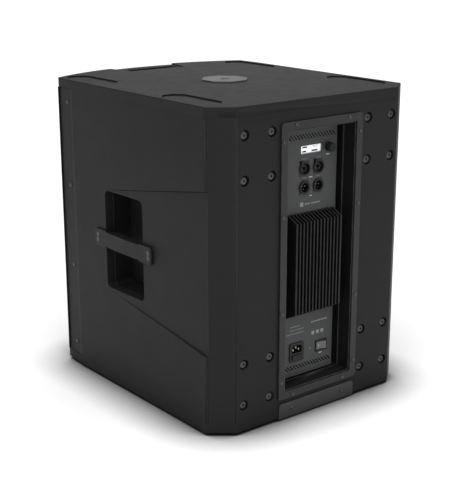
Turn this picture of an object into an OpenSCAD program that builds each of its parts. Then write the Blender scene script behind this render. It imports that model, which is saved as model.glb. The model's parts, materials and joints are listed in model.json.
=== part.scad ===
// Powered subwoofer cabinet: bass-reflex plywood box with a bowed steel grille,
// rear amplifier in a sunk bay, side bar handles, castor points and pole flange.
// Axes: Z up, bowed grille towards -Y, amplifier towards +Y. Units are millimetres.

/* [Cabinet] */
// Outside width across the two sides
cab_width = 485; // [400:1:600]
// Height of the wooden cabinet without its feet
cab_height = 604; // [500:1:740]
// Depth from the middle of the bowed front to the rear wall
cab_depth = 586; // [480:1:720]
// Plywood thickness of every panel
ply = 18; // [15:1:21]
// Width of each slanted rear corner, seen from behind
corner_cut_x = 44; // [30:1:60]
// Depth of each slanted rear corner, seen from the side
corner_cut_y = 36; // [25:1:50]
// How far the middle of the front bows out past its corners
bow = 60; // [40:1:75]
// Length of the narrowing band at the front of each side
band_length = 56; // [45:1:65]
// How far each side narrows over that band
band_in = 4; // [1:0.5:8]
// Depth of the fine groove along the facet's upper ledge
groove = 1.4; // [0.5:0.1:2]
// Depth of the fan-shaped facet in each side at its rear end
facet_depth = 4; // [1:0.5:5]

/* [Top and feet] */
// Width of a stacking pocket and nominal width of the foot that drops in it
pocket_width = 52; // [40:1:60]
// Depth of the stacking pockets in the top
pocket_depth = 3; // [2:0.5:4]
// Height of the rubber feet
foot_height = 6; // [5:0.5:12]
// Width across the flats of the eight-sided pole flange
flange_flats = 88; // [76:1:100]
// Tapping size of the thread in the pole flange
pole_bore = 17.5; // [16:0.1:20]

/* [Handles] */
// Front-to-back length of each handle opening
grip_length = 127; // [110:1:140]
// Height of each handle opening
grip_height = 199; // [160:1:220]
// Depth of the handle cup behind the side panel
cup_depth = 45; // [35:1:60]
// Height of the handle bar
bar_height = 30; // [24:1:36]

/* [Amplifier] */
// Width of the amplifier frame
frame_width = 200; // [190:1:220]
// Width of the sunk control panel
panel_width = 131; // [126:1:140]
// How far the control panel is sunk below the rear wall
panel_sink = 27; // [22:1:34]
// Number of cooling fins
fin_count = 14; // [8:1:18]
// Pitch between the two columns of signal sockets
socket_pitch = 34.6; // [30:0.1:38]
// Diameter of the control knob
knob_dia = 17; // [12:0.5:18]

/* [Castor points] */
// Height pitch of the four holes of a castor point
castor_pitch_z = 80; // [60:1:90]
// Width pitch of the four holes of a castor point
castor_pitch_x = 62.6; // [50:0.2:66]
// Diameter of the counterbore round each castor screw
castor_bore = 20.6; // [18:0.2:22]

/* [Loudspeaker] */
// Driver frame radius as a share of the geometric mean of half the width and half the clear height
driver_share = 0.8; // [0.7:0.01:0.82]
// Travel of the cone each way, which sets the roll of its surround
cone_travel = 8; // [4:1:10]
// Height of the slot port
port_height = 62; // [45:1:70]

/* [Hidden] */
$fn = 64;
hw = cab_width / 2;
rear_proud = 6.2;
yr = (cab_depth - rear_proud) / 2;
yf = yr - cab_depth;
z0 = foot_height;
z1 = z0 + cab_height;
zm = (z0 + z1) / 2;
glue = 0.05;
gap = 0.4;
y_corner = yf + bow;
y_band = y_corner + band_length;
bow_r = (hw * hw + bow * bow) / (2 * bow);
turn = atan(corner_cut_x / corner_cut_y);
mitre_side = ply * tan(turn / 2);
mitre_rear = ply * tan((90 - turn) / 2);
in_w = hw - ply;
in_z0 = z0 + ply;
in_z1 = z1 - ply;
in_h = in_z1 - in_z0;
side_front = y_corner + 4.5;
band_tilt = atan(band_in / band_length);
flange_y = 5;
cut_len = norm([corner_cut_x, corner_cut_y]);
lip = 5;
side_lip = [hw - lip * corner_cut_x / cut_len, yr - corner_cut_y + lip * corner_cut_y / cut_len];
rear_lip = [hw - corner_cut_x + lip * corner_cut_x / cut_len, yr - lip * corner_cut_y / cut_len];

// top pockets and feet
pocket_x = hw - 12.5 - pocket_width / 2;
pocket_len = 146 * cab_depth / 586;
pocket_y_rear = yr - 122 * cab_depth / 586;
pocket_y_front = yf + 132 * cab_depth / 586;
foot_play = 4;

// handles
grip_y = -5;
facet_y = grip_y - grip_length / 2 + 3;
facet_run = yr - corner_cut_y - facet_y;
plate_len = 40;
bar_y0 = grip_y - grip_length / 2 - plate_len + 4;
bar_y1 = grip_y + grip_length / 2 + plate_len - 4;
cup_wall = 3;
cup_flange = 12;

// amplifier
frame_height = cab_height - 76;
frame_thick = 2.5;
frame_border = 14;
tub_thick = 1.5;
y_face = yr + glue;
y_frame = y_face + tub_thick + glue;
y_front_frame = y_frame + frame_thick;
y_panel = yr - panel_sink;
tub_half = frame_width / 2 - frame_border - 3;
tub_hz = frame_height / 2 - frame_border - 3;
ledge = 3;
tub_deep = panel_sink + 26;
y_floor = yr - tub_deep;
panel_thick = 1.2;
collar_r = 12.8;
lug_thick = 1.8;
panel_hz = tub_hz - ledge - 4;
panel_top = zm + panel_hz;
panel_bot = zm - panel_hz;
opening_half = 60;
screw_px = frame_width / 2 - 5.5;
screw_pz = frame_height / 2 - 5.5;

// parts of the control panel, measured from its top and bottom edges
z_vent_top = panel_top - 13;
z_screen = panel_top - 38;
z_combo = panel_top - 73;
z_output = z_combo - 35.6;
z_inlet = panel_bot + 49;
z_vent_low = panel_bot + 17;
sink_top = panel_top - 156;
sink_bot = panel_bot + 122;
sink_half = 57.5;
sink_slope = 12;
fin_high = 26;
fin_thick = 2.6;
sink_base = 8;
inlet_x = 30;
rocker_x = -34.5;
led_x = -5;
rocker_tilt = 11;
knob_x = -41;
screen_w = 55;
screen_h = 17;
screen_deep = 5;

// castor points
castor_x = hw - 61 - castor_pitch_x / 2;
castor_dx = castor_pitch_x / 2;
castor_dz = castor_pitch_z / 2;
castor_z = zm - z0 - 90.7;
bore_deep = 7;

// loudspeaker, radii from its frame radius
y_baffle = y_corner + 28;
baffle_margin = 1.5;
coil_fit = 0.2;
shelf_z = in_z0 + port_height;
zd = (shelf_z + ply + in_z1) / 2;
clear_half = (in_z1 - shelf_z - ply) / 2 - baffle_margin;
dr = driver_share * sqrt(hw * clear_half);
k = dr / 194;
shelf_back = y_baffle + ply + 245 * cab_depth / 586;
magnet_back = y_baffle + 142 * k;
board_y = y_floor - 40;
brace_y = (max(magnet_back, grip_y + grip_length / 2 + cup_flange) + board_y - 52) / 2 - ply / 2;

// ---- shared shapes ----

// outline of the cabinet seen from above
module plan() {
    intersection() {
        polygon([[hw, y_band], [hw, yr - corner_cut_y], [hw - corner_cut_x, yr],
            [corner_cut_x - hw, yr], [-hw, yr - corner_cut_y], [-hw, y_band],
            [band_in - hw, y_corner], [band_in - hw, yf - 5],
            [hw - band_in, yf - 5], [hw - band_in, y_corner]]);
        translate([0, yf + bow_r]) circle(r = bow_r, $fn = 360);
    }
}

// rectangle with rounded corners, centred
module round_rect(w, h, r) {
    square([w - 2 * r, h], center = true);
    square([w, h - 2 * r], center = true);
    for (sx = [-1, 1], sy = [-1, 1])
        translate([sx * (w / 2 - r), sy * (h / 2 - r)]) circle(r = r);
}

// rectangle with cut corners, centred
module cut_rect(w, h, c) {
    a = w / 2; b = h / 2;
    polygon([[a - c, -b], [a, -b + c], [a, b - c], [a - c, b],
        [c - a, b], [-a, b - c], [-a, -b + c], [c - a, -b]]);
}

// a flat drawing laid in the X-Z plane and given thickness from y0 to y1
module upright(y0, y1) {
    translate([0, y1, 0]) rotate([90, 0, 0]) linear_extrude(y1 - y0) children();
}

// a flat drawing laid in the Y-Z plane and given thickness from x0 to x1
module sideways(x0, x1) {
    translate([x0, 0, 0]) rotate([90, 0, 90]) linear_extrude(x1 - x0) children();
}

// a round bar along Y
module rod_y(x, z, r, y0, y1) {
    translate([x, y0, z]) rotate([-90, 0, 0]) cylinder(r = r, h = y1 - y0);
}

// a turned shape about the driver axis, drawn as radius and depth behind the baffle
module turned() {
    translate([0, y_baffle, zd]) rotate([-90, 0, 0]) rotate_extrude($fn = 128) children();
}

// a straight length of wire with a rounded start
module wire(a, b, r) {
    d = b - a;
    len = norm(d);
    translate(a) rotate([0, acos(d[2] / len), atan2(d[1], d[0])]) cylinder(r = r, h = len, $fn = 24);
    translate(a) sphere(r = r * 1.12, $fn = 24);
}

// the wedge taken out of a side to leave its fan-shaped facet
module facet_cut() {
    rise = 52 * grip_height / 199;
    half = grip_height / 2;
    intersection() {
        linear_extrude(z1 + 10)
            polygon([[hw, facet_y], [hw + 9, facet_y], [hw + 9, yr],
                [hw - facet_depth * (yr - facet_y) / facet_run, yr]]);
        sideways(hw - 12, hw + 10)
            polygon([[facet_y, zm - half - 4], [yr, zm - half - 4 - rise * 1.06],
                [yr, zm + half + 4 + rise * 1.1], [facet_y, zm + half + 1]]);
    }
    // fine groove under the upper ledge
    intersection() {
        linear_extrude(z1 + 10)
            polygon([[hw - groove, facet_y + 6], [hw + 9, facet_y + 6], [hw + 9, yr],
                [hw - groove - facet_depth * (yr - facet_y) / facet_run, yr]]);
        sideways(hw - 12, hw + 10)
            polygon([[facet_y, zm + half + 1 - 1.8], [yr, zm + half + 2.2 + rise * 1.1],
                [yr, zm + half + 4 + rise * 1.1], [facet_y, zm + half + 1]]);
    }
}

// ---- cabinet ----

module top_shape() {
    difference() {
        linear_extrude(ply - glue) plan();
        for (sx = [-1, 1], y = [pocket_y_rear, pocket_y_front])
            translate([sx * pocket_x, y, ply - pocket_depth]) linear_extrude(ply)
                cut_rect(pocket_width, pocket_len, 17);
        translate([0, 0, ply - 3]) linear_extrude(ply)
            polygon([[-66, yf + 78], [66, yf + 78], [84, yf - 5], [-84, yf - 5]]);
        translate([-68, yf + 30, ply - 10]) cube([136, 22, ply]);
        translate([0, flange_y, -1]) cylinder(d = 52, h = ply + 2);
        for (a = [45:90:315]) translate([0, flange_y, ply - 12]) rotate(a)
            translate([flange_flats * 0.41, 0, 0]) cylinder(r = 2.05, h = ply);
    }
}

module top_panel() {
    color([0.09, 0.09, 0.1]) translate([0, 0, in_z1 + glue]) top_shape();
}

module bottom_panel() {
    color([0.09, 0.09, 0.1]) translate([0, 0, z0]) difference() {
        linear_extrude(ply - glue) plan();
        for (sx = [-1, 1], y = [pocket_y_rear, pocket_y_front], e = [-1, 1])
            translate([sx * pocket_x, y + e * pocket_len * 0.3, -1]) cylinder(r = 2.05, h = 11);
        for (sx = [-1, 1]) rod_y(sx * frame_width * 0.33, kick_screw_z() - z0, 1.85, yr - 13, yr + 1);
    }
}

module side_shape() {
    difference() {
        translate([0, 0, in_z0]) linear_extrude(in_h)
            polygon([[hw - ply, side_front], [hw - band_in + 0.14, side_front], [hw, y_band],
                [hw, yr - corner_cut_y], side_lip, [hw - ply, yr - corner_cut_y - mitre_side]]);
        // rabbet that takes the grille's side flange
        translate([0, 0, in_z0 - 1]) linear_extrude(in_h + 2)
            polygon([[hw - band_in - 2.2, y_corner - 5], [hw + 5, y_corner - 5],
                [hw + 5, y_band - 4.6], [hw - 2.2 - band_in * 4.6 / band_length, y_band - 4.6]]);
        facet_cut();
        translate([0, grip_y, zm]) sideways(hw - ply - 5, hw + 5) round_rect(grip_length, grip_height, 11);
        for (e = [-1, 1], s = [-1, 1])
            translate([hw - 14, e < 0 ? bar_y0 + 12 : bar_y1 - 12, zm + s * 5])
                rotate([0, 90, 0]) cylinder(r = 2.05, h = 20);
        for (z = grille_screw_z())
            translate([band_x(y_band - 20), y_band - 20, z]) rotate([0, 90, -band_tilt])
                translate([0, 0, -10]) cylinder(r = 1.6, h = 12);
    }
}

function grille_screw_z() = [for (i = [-1.5:1:1.5]) zm + i * (cab_height * 0.283)];

module side_panel_left() {
    color([0.085, 0.085, 0.09]) side_shape();
}

module side_panel_right() {
    color([0.085, 0.085, 0.09]) mirror([1, 0, 0]) side_shape();
}

module corner_shape() {
    difference() {
        translate([0, 0, in_z0]) linear_extrude(in_h)
            polygon([side_lip, rear_lip, [hw - corner_cut_x - mitre_rear, yr - ply],
                [hw - ply, yr - corner_cut_y - mitre_side]]);
        facet_cut();
    }
}

module corner_panel_left() {
    color([0.085, 0.085, 0.09]) corner_shape();
}

module corner_panel_right() {
    color([0.085, 0.085, 0.09]) mirror([1, 0, 0]) corner_shape();
}

function castor_points() = [for (sx = [-1, 1], sz = [-1, 1], i = [-1, 1], j = [-1, 1])
    [sx * castor_x + i * castor_dx, zm + sz * castor_z + j * castor_dz]];

function frame_points() = concat(
    [for (sx = [-1, 1], u = [0.872, 0.345, -0.35, -0.872]) [sx * screw_px, zm + u * screw_pz * 1.02]],
    [for (sx = [-1, 1], sz = [-1, 1]) [sx * frame_width * 0.328, zm + sz * screw_pz]]);

module rear_panel() {
    color([0.08, 0.08, 0.085]) difference() {
        translate([0, 0, in_z0]) linear_extrude(in_h)
            polygon([[hw - corner_cut_x, yr], [corner_cut_x - hw, yr], [-rear_lip[0], rear_lip[1]],
                [corner_cut_x - hw + mitre_rear, yr - ply], [hw - corner_cut_x - mitre_rear, yr - ply],
                rear_lip]);
        translate([0, 0, zm]) upright(yr - ply - 1, yr + 1)
            square([2 * tub_half + 4, 2 * tub_hz + 4], center = true);
        for (p = castor_points()) {
            rod_y(p[0], p[1], castor_bore / 2, yr - bore_deep, yr + 1);
            rod_y(p[0], p[1], 5.35, yr - ply - 1, yr);
        }
        for (p = frame_points()) rod_y(p[0], p[1], 1.85, yr - 13, yr + 1);
    }
}

function kick_screw_z() = z0 + 0.8 * ply;

module front_baffle() {
    color([0.07, 0.07, 0.075]) difference() {
        translate([-in_w + glue, y_baffle, in_z0 + glue])
            cube([2 * in_w - 2 * glue, ply, in_h - 2 * glue]);
        rod_y(0, zd, 177 * k, y_baffle - 1, y_baffle + ply + 1);
        translate([-in_w + 20, y_baffle - 1, in_z0 - 1]) cube([2 * in_w - 40, ply + 2, port_height + 1]);
        for (a = [22.5:45:360])
            rod_y(186 * k * cos(a), zd + 186 * k * sin(a), 2.55, y_baffle - 1, y_baffle + ply + 1);
    }
}

module port_shelf() {
    color([0.35, 0.25, 0.15])
        translate([-in_w + glue, y_baffle + ply + glue, shelf_z])
            cube([2 * in_w - 2 * glue, shelf_back - y_baffle - ply - glue, ply]);
}

module window_brace() {
    color([0.55, 0.42, 0.27]) difference() {
        translate([-in_w + glue, brace_y, in_z0 + glue])
            cube([2 * in_w - 2 * glue, ply, in_h - 2 * glue]);
        translate([0, 0, zm]) upright(brace_y - 1, brace_y + ply + 1)
            round_rect(2 * in_w - 90, in_h - 90, 40);
        translate([-in_w + 30, brace_y - 1, in_z0 - 1])
            cube([2 * in_w - 60, ply + 2, port_height + ply + 8]);
    }
}

// ---- grille ----

function band_x(y) = hw - band_in * max(0, y_band - y) / band_length;

module grille_plan(over, thick, gx) {
    intersection() {
        difference() {
            translate([0, yf + bow_r]) circle(r = bow_r - 1 - over, $fn = 360);
            translate([0, yf + bow_r]) circle(r = bow_r - 1 - over - thick, $fn = 360);
        }
        translate([-gx, yf - 5]) square([2 * gx, bow + 10]);
    }
}

module grille() {
    zlo = in_z0 + gap;
    color([0.03, 0.03, 0.03]) difference() {
        translate([0, 0, zlo]) linear_extrude(in_h - 2 * gap) {
            grille_plan(0, 1.5, hw - band_in - 0.5);
            for (s = [-1, 1]) scale([s, 1])
                polygon([[band_x(y_corner) - 0.5, y_corner - 1.4],
                    [band_x(y_band - 5) - 0.5, y_band - 5], [band_x(y_band - 5) - 2, y_band - 5],
                    [band_x(y_corner) - 2, y_corner - 1.6]]);
        }
        for (z = grille_screw_z()) translate([-hw - 5, y_band - 20, z])
            rotate([0, 90, 0]) cylinder(r = 2.2, h = 2 * hw + 10);
    }
}

module grille_foam() {
    zlo = in_z0 + 4;
    color([0.05, 0.05, 0.05]) translate([0, 0, zlo]) linear_extrude(in_h - 8) grille_plan(1.8, 6, in_w - 1);
}

module grille_screws() {
    color([0.15, 0.15, 0.16]) for (s = [-1, 1], z = grille_screw_z())
        translate([s * (band_x(y_band - 20) - 0.45), y_band - 20, z]) rotate([0, s * 90, -s * band_tilt]) {
            difference() {
                cylinder(r1 = 4, r2 = 3.2, h = 1.8);
                translate([0, 0, 0.8]) cylinder(r = 1.4, h = 2);
            }
            translate([0, 0, -9]) cylinder(r = 1.55, h = 9);
        }
}

// ---- pole flange ----

module pole_flange() {
    f = flange_flats / 2;
    c = f * (1 - tan(22.5));
    color([0.62, 0.63, 0.65]) translate([0, flange_y, z1]) difference() {
        union() {
            translate([0, 0, glue]) linear_extrude(2.6) cut_rect(flange_flats, flange_flats, c);
            translate([0, 0, -34]) cylinder(d = 34, h = 35);
            translate([0, 0, -ply - 4]) cylinder(d = 50, h = ply + 4.5);
        }
        translate([0, 0, -30]) cylinder(d = pole_bore, h = 40);
        translate([0, 0, 1.5]) cylinder(d1 = pole_bore, d2 = pole_bore + 4, h = 2);
        for (a = [45:90:315]) rotate(a) translate([flange_flats * 0.41, 0, -1]) {
            cylinder(r = 2.7, h = 6);
            translate([0, 0, 1.4]) cylinder(r1 = 2.7, r2 = 5.2, h = 2.4);
        }
    }
}

// countersunk wood screw, head flush at the origin, shank along -Z
module wood_screw(len) {
    difference() {
        union() {
            translate([0, 0, -2.2]) cylinder(r1 = 2, r2 = 4.4, h = 2.2);
            translate([0, 0, -len]) cylinder(r = 2, h = len - 2);
        }
        translate([0, 0, -1.2]) cylinder(r = 1.5, h = 2, $fn = 16);
    }
}

module wood_screws() {
    color([0.12, 0.12, 0.13]) {
        for (a = [45:90:315]) translate([0, flange_y, z1 + 2.55]) rotate(a)
            translate([flange_flats * 0.41, 0, 0]) wood_screw(13);
        for (sx = [-1, 1], y = [pocket_y_rear, pocket_y_front], e = [-1, 1])
            translate([sx * pocket_x, y + e * pocket_len * 0.3, 3]) rotate([180, 0, 0]) wood_screw(12);
        for (sx = [-1, 1], e = [-1, 1], s = [-1, 1])
            translate([sx * (hw + 4.7), e < 0 ? bar_y0 + 12 : bar_y1 - 12, zm + s * 5])
                rotate([0, sx * 90, 0]) wood_screw(17);
    }
}

// ---- handles ----

module cup_shape() {
    x1 = hw - ply - glue;
    difference() {
        union() {
            translate([0, grip_y, zm]) sideways(x1 - 4, x1)
                round_rect(grip_length + 2 * cup_flange, grip_height + 2 * cup_flange, 11 + cup_flange);
            translate([0, grip_y, zm]) sideways(x1 - cup_depth, x1)
                round_rect(grip_length + 2 * cup_wall, grip_height + 2 * cup_wall, 11 + cup_wall);
        }
        translate([0, grip_y, zm]) sideways(x1 - cup_depth + cup_wall, x1 + 1)
            round_rect(grip_length, grip_height, 11);
    }
}

module handle_cup_left() {
    color([0.06, 0.06, 0.06]) cup_shape();
}

module handle_cup_right() {
    color([0.06, 0.06, 0.06]) mirror([1, 0, 0]) cup_shape();
}

function facet_x(y) = hw - facet_depth * max(0, y - facet_y) / facet_run;

module bar_shape() {
    a0 = bar_y0 + 2; a1 = bar_y0 + plate_len + 1;
    b0 = bar_y1 - plate_len - 1; b1 = bar_y1 - 2;
    top = hw + 4.8;
    difference() {
        union() {
            // end plates and the flat outer face
            translate([0, 0, zm - bar_height / 2 - 2]) linear_extrude(bar_height + 4) {
                polygon([[hw + glue, a0], [top - 1.5, a0], [top, a0 + 3], [top, a1], [hw + glue, a1]]);
                polygon([[facet_x(b0) + 0.1, b0], [top, b0], [top, b1 - 3], [top - 1.5, b1],
                    [facet_x(b1) + 0.1, b1]]);
            }
            // the grip, thick enough for a full hand
            translate([0, 0, zm - bar_height / 2]) linear_extrude(bar_height)
                polygon([[hw + glue, a1 - 1], [top, a1 - 1], [top + 1.2, a1 + 24], [top + 1.2, b0 - 24],
                    [top, b0 + 1], [hw + glue, b0 + 1], [hw - 9, b0 - 12], [hw - 13, b0 - 26],
                    [hw - 13, a1 + 26], [hw - 9, a1 + 12]]);
        }
        for (s = [-1, 1], y = [bar_y0 + 12, bar_y1 - 12])
            translate([hw - 6, y, zm + s * 5]) rotate([0, 90, 0]) {
                cylinder(r = 2.1, h = 20);
                translate([0, 0, 8.4]) cylinder(r1 = 2.1, r2 = 4.7, h = 2.4);
                translate([0, 0, 10.75]) cylinder(r = 4.7, h = 8);
            }
        for (s = [-1, 1], y = [a0, b1]) translate([top, y, zm + s * (bar_height / 2 + 2)])
            rotate([s * (y < grip_y ? -45 : 45), 0, 0]) cube([40, 5, 5], center = true);
    }
}

module handle_bar_left() {
    color([0.05, 0.05, 0.05]) bar_shape();
}

module handle_bar_right() {
    color([0.05, 0.05, 0.05]) mirror([1, 0, 0]) bar_shape();
}

// ---- feet, kick plate, castor hardware ----

module feet() {
    color([0.04, 0.04, 0.04]) for (sx = [-1, 1], y = [pocket_y_rear, pocket_y_front])
        translate([sx * pocket_x, y, 0]) difference() {
            union() {
                linear_extrude(z0 - 2) cut_rect(pocket_width - 2 * foot_play - 2, pocket_len - 2 * foot_play - 2, 14);
                translate([0, 0, 1.5]) linear_extrude(z0 - 1.5 - glue)
                    cut_rect(pocket_width - 2 * foot_play, pocket_len - 2 * foot_play, 15);
            }
            for (e = [-1, 1]) translate([0, e * pocket_len * 0.3, -1]) {
                cylinder(r = 2.1, h = 20);
                cylinder(r = 5, h = 4.05);
                translate([0, 0, 4.05]) cylinder(r1 = 5, r2 = 2.1, h = 2.45);
            }
        }
}

module kick_plate() {
    w = frame_width - 6;
    color([0.13, 0.13, 0.14]) difference() {
        union() {
            translate([0, 0, z0 + 14]) upright(yr + glue, yr + 2.5) round_rect(w, 28, 7);
            translate([-w / 2, yr + glue, z0 - 2]) cube([w, 2.45, 14]);
            translate([-w / 2, yr - 18, z0 - 2]) cube([w, 20, 2 - glue]);
        }
        for (sx = [-1, 1]) rod_y(sx * frame_width * 0.33, kick_screw_z(), 2.1, yr - 1, yr + 5);
    }
}

module castor_screws() {
    color([0.3, 0.3, 0.31]) for (p = castor_points()) {
        difference() {
            union() {
                rod_y(p[0], p[1], 8.2, yr - bore_deep + glue, yr - bore_deep + 2.6);
                translate([p[0], yr - bore_deep + 2.6, p[1]]) rotate([-90, 0, 0])
                    cylinder(r1 = 8.2, r2 = 6.2, h = 1.8);
            }
            rod_y(p[0], p[1], 2.6, yr - bore_deep + 1.8, yr);
        }
        rod_y(p[0], p[1], 3.95, yr - bore_deep - 24, yr - bore_deep + glue);
    }
}

module castor_nuts() {
    color([0.7, 0.7, 0.68]) for (p = castor_points()) difference() {
        union() {
            rod_y(p[0], p[1], 9, yr - ply - 1.6, yr - ply - glue);
            rod_y(p[0], p[1], 5.2, yr - ply - 1, yr - bore_deep - 0.5);
        }
        rod_y(p[0], p[1], 4, yr - ply - 3, yr);
    }
}

// ---- amplifier bay ----

module amp_frame() {
    color([0.3, 0.3, 0.31]) difference() {
        translate([0, 0, zm]) upright(y_frame, y_front_frame)
            round_rect(frame_width, frame_height, 6);
        translate([0, 0, zm]) upright(y_frame - 1, y_front_frame + 1)
            round_rect(frame_width - 2 * frame_border, frame_height - 2 * frame_border, 4);
        for (p = frame_points()) {
            rod_y(p[0], p[1], 2.1, y_frame - 1, y_front_frame + 1);
        }
    }
}

// pan-head machine screw along Y, seat at y
module pan_screw(x, z, y, r, len) {
    difference() {
        union() {
            rod_y(x, z, r * 2, y + glue, y + 1.3);
            translate([x, y + 1.3, z]) rotate([-90, 0, 0]) cylinder(r1 = r * 2, r2 = r * 1.5, h = 0.8);
            rod_y(x, z, r, y - len, y + glue);
        }
        rod_y(x, z, r * 0.75, y + 0.9, y + 4);
    }
}

module frame_screws() {
    color([0.2, 0.2, 0.21]) {
        for (p = frame_points()) pan_screw(p[0], p[1], y_front_frame, 1.8, 15);
        for (sx = [-1, 1]) pan_screw(sx * frame_width * 0.33, kick_screw_z(), yr + 2.5, 1.8, 13);
    }
}

module amp_tub() {
    color([0.06, 0.06, 0.065]) difference() {
        union() {
            translate([0, 0, zm]) upright(y_face, y_face + tub_thick)
                round_rect(frame_width - 4, frame_height - 4, 5);
            translate([0, 0, zm]) upright(y_panel - 2, y_face)
                square([2 * tub_half + 3, 2 * tub_hz + 3], center = true);
            translate([0, 0, zm]) upright(y_floor - tub_thick, y_panel)
                square([2 * (tub_half - ledge) + 3, 2 * (tub_hz - ledge) + 3], center = true);
        }
        translate([0, 0, zm]) upright(y_panel, y_face + 5)
            square([2 * tub_half, 2 * tub_hz], center = true);
        translate([0, 0, zm]) upright(y_floor, y_face)
            square([2 * (tub_half - ledge), 2 * (tub_hz - ledge)], center = true);
        translate([0, 0, zm]) upright(y_floor - 5, y_face)
            square([2 * opening_half, 2 * (panel_hz - 8)], center = true);
        for (p = frame_points()) rod_y(p[0], p[1], 2, y_face - 1, y_face + 4);
    }
}

// a row of slanted ventilation slots
module slots(z) {
    n = 16;
    for (i = [0:n - 1]) translate([(i - (n - 1) / 2) * 7.4 * panel_width / 131, 0, z])
        upright(y_panel - 5, y_panel + 5)
            polygon([[6.2, 5], [3, 5], [-6.2, -5], [-3, -5]]);
}

// positions of the signal sockets
function sockets() = [[socket_pitch / 2, z_combo], [-socket_pitch / 2, z_combo],
    [socket_pitch / 2, z_output], [-socket_pitch / 2, z_output]];

module control_panel() {
    color([0.2, 0.2, 0.21]) difference() {
        union() {
            translate([0, 0, zm]) upright(y_panel - 6, y_panel)
                round_rect(panel_width - 4, 2 * panel_hz, 2);
            translate([0, 0, zm]) upright(y_floor + glue, y_panel - 2)
                square([panel_width, 2 * panel_hz], center = true);
            for (s = [-1, 1]) translate([s * (panel_width / 2 - 2), y_panel - 2, panel_bot])
                cylinder(r = 2, h = 2 * panel_hz);
        }
        translate([0, 0, zm]) upright(y_floor - 1, y_panel - panel_thick)
            square([panel_width - 4, 2 * panel_hz - 4], center = true);
        slots(z_vent_top);
        slots(z_vent_low);
        translate([0, 0, z_screen]) upright(y_panel - 5, y_panel + 5)
            square([screen_w + 2 * gap, screen_h + 2 * gap], center = true);
        rod_y(knob_x, z_screen, 3.75, y_panel - 5, y_panel + 5);
        for (p = sockets()) {
            rod_y(p[0], p[1], 12, y_panel - 5, y_panel + 5);
            for (s = [-1, 1]) rod_y(p[0] - s * 9.5, p[1] + s * 12, 1.35, y_panel - 5, y_panel + 5);
        }
        for (s = [[0, z_combo], [1, z_combo]])
            translate([socket_pitch * (0.5 - s[0]) + 8 - 3, y_panel - 5, z_combo + 12 - 2.5 - 0.2])
                cube([6.4, 10, 5.8]);
        translate([0, 0, (sink_top + sink_bot) / 2]) upright(y_panel - 5, y_panel + 5)
            square([2 * sink_half + 1, sink_top - sink_bot + 1], center = true);
        translate([inlet_x, 0, z_inlet]) upright(y_panel - 5, y_panel + 5)
            square([30.6, 32.6], center = true);
        translate([rocker_x, 0, z_inlet - 1]) upright(y_panel - 5, y_panel + 5)
            square([27.2, 19.2], center = true);
        rod_y(led_x, z_inlet - 1, 1.7, y_panel - 5, y_panel + 5);
    }
}

module heat_sink() {
    zc = (sink_top + sink_bot) / 2;
    color([0.04, 0.04, 0.045]) {
        translate([-sink_half, y_panel - sink_base, sink_bot])
            cube([2 * sink_half, sink_base + 0.5, sink_top - sink_bot]);
        for (i = [0:fin_count - 1]) {
            edge = (i == 0 || i == fin_count - 1) ? 1.2 : 0;
            x = -sink_half + 1.9 + i * (2 * sink_half - 3.8) / (fin_count - 1);
            sideways(x - (fin_thick + edge) / 2, x + (fin_thick + edge) / 2)
                polygon([[y_panel, sink_top], [y_panel + fin_high, sink_top - sink_slope],
                    [y_panel + fin_high, sink_bot + sink_slope + 2], [y_panel, sink_bot]]);
        }
    }
}

module display_bezel() {
    color([0.03, 0.03, 0.03]) translate([0, 0, z_screen]) difference() {
        union() {
            upright(y_panel - screen_deep - 2, y_panel + 0.4) square([screen_w, screen_h], center = true);
            upright(y_panel - screen_deep - 2, y_panel - panel_thick - glue)
                square([screen_w + 8, screen_h + 8], center = true);
        }
        upright(y_panel - screen_deep, y_panel + 2)
            square([screen_w - 2, screen_h - 2], center = true);
        upright(y_panel - screen_deep - 4, y_panel + 2)
            square([screen_w - 4, screen_h - 3.2], center = true);
    }
}

module display_screen() {
    color([0.85, 0.87, 0.88]) translate([0, 0, z_screen]) {
        upright(y_panel - screen_deep + glue, y_panel - screen_deep + 0.6)
            square([screen_w - 2.4, screen_h - 2.4], center = true);
        upright(y_panel - screen_deep - 6, y_panel - screen_deep + 0.3)
            square([screen_w - 4.6, screen_h - 3.8], center = true);
    }
}

module encoder_body() {
    color([0.5, 0.5, 0.5]) difference() {
        union() {
            translate([knob_x - 6.5, y_panel - 12, z_screen - 6.5]) cube([13, 12 - panel_thick - glue, 13]);
            rod_y(knob_x, z_screen, 3.5, y_panel - 4, y_panel + 0.8);
        }
        rod_y(knob_x, z_screen, 2.45, y_panel - 9.5, y_panel + 5);
    }
}

module encoder_shaft() {
    color([0.7, 0.7, 0.7]) rod_y(knob_x, z_screen, 2.4, y_panel - 8, y_panel + 13);
}

module encoder_knob() {
    r = knob_dia / 2;
    color([0.03, 0.03, 0.03]) translate([knob_x, y_panel, z_screen]) rotate([-90, 0, 0]) difference() {
        rotate_extrude() polygon([[0, 2.2], [r, 2.2], [r, 13.8], [r - 1.2, 15], [0, 15]]);
        translate([0, 0, -1]) cylinder(r = 2.45, h = 14.2);
        translate([0, 0, 1]) difference() {
            cylinder(r = r - 2, h = 8);
            cylinder(r = 4, h = 8);
        }
        for (a = [0:20:340]) rotate(a) translate([r + 0.35, 0, 3.4]) cylinder(r = 0.8, h = 9.2, $fn = 20);
    }
}

// ---- signal sockets ----

// plate behind the panel that the socket's two screws hold
module lugs(x, z) {
    translate([x, 0, z]) upright(y_panel - panel_thick - glue - lug_thick, y_panel - panel_thick - glue)
        round_rect(26, 31, 2.5);
}

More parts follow.
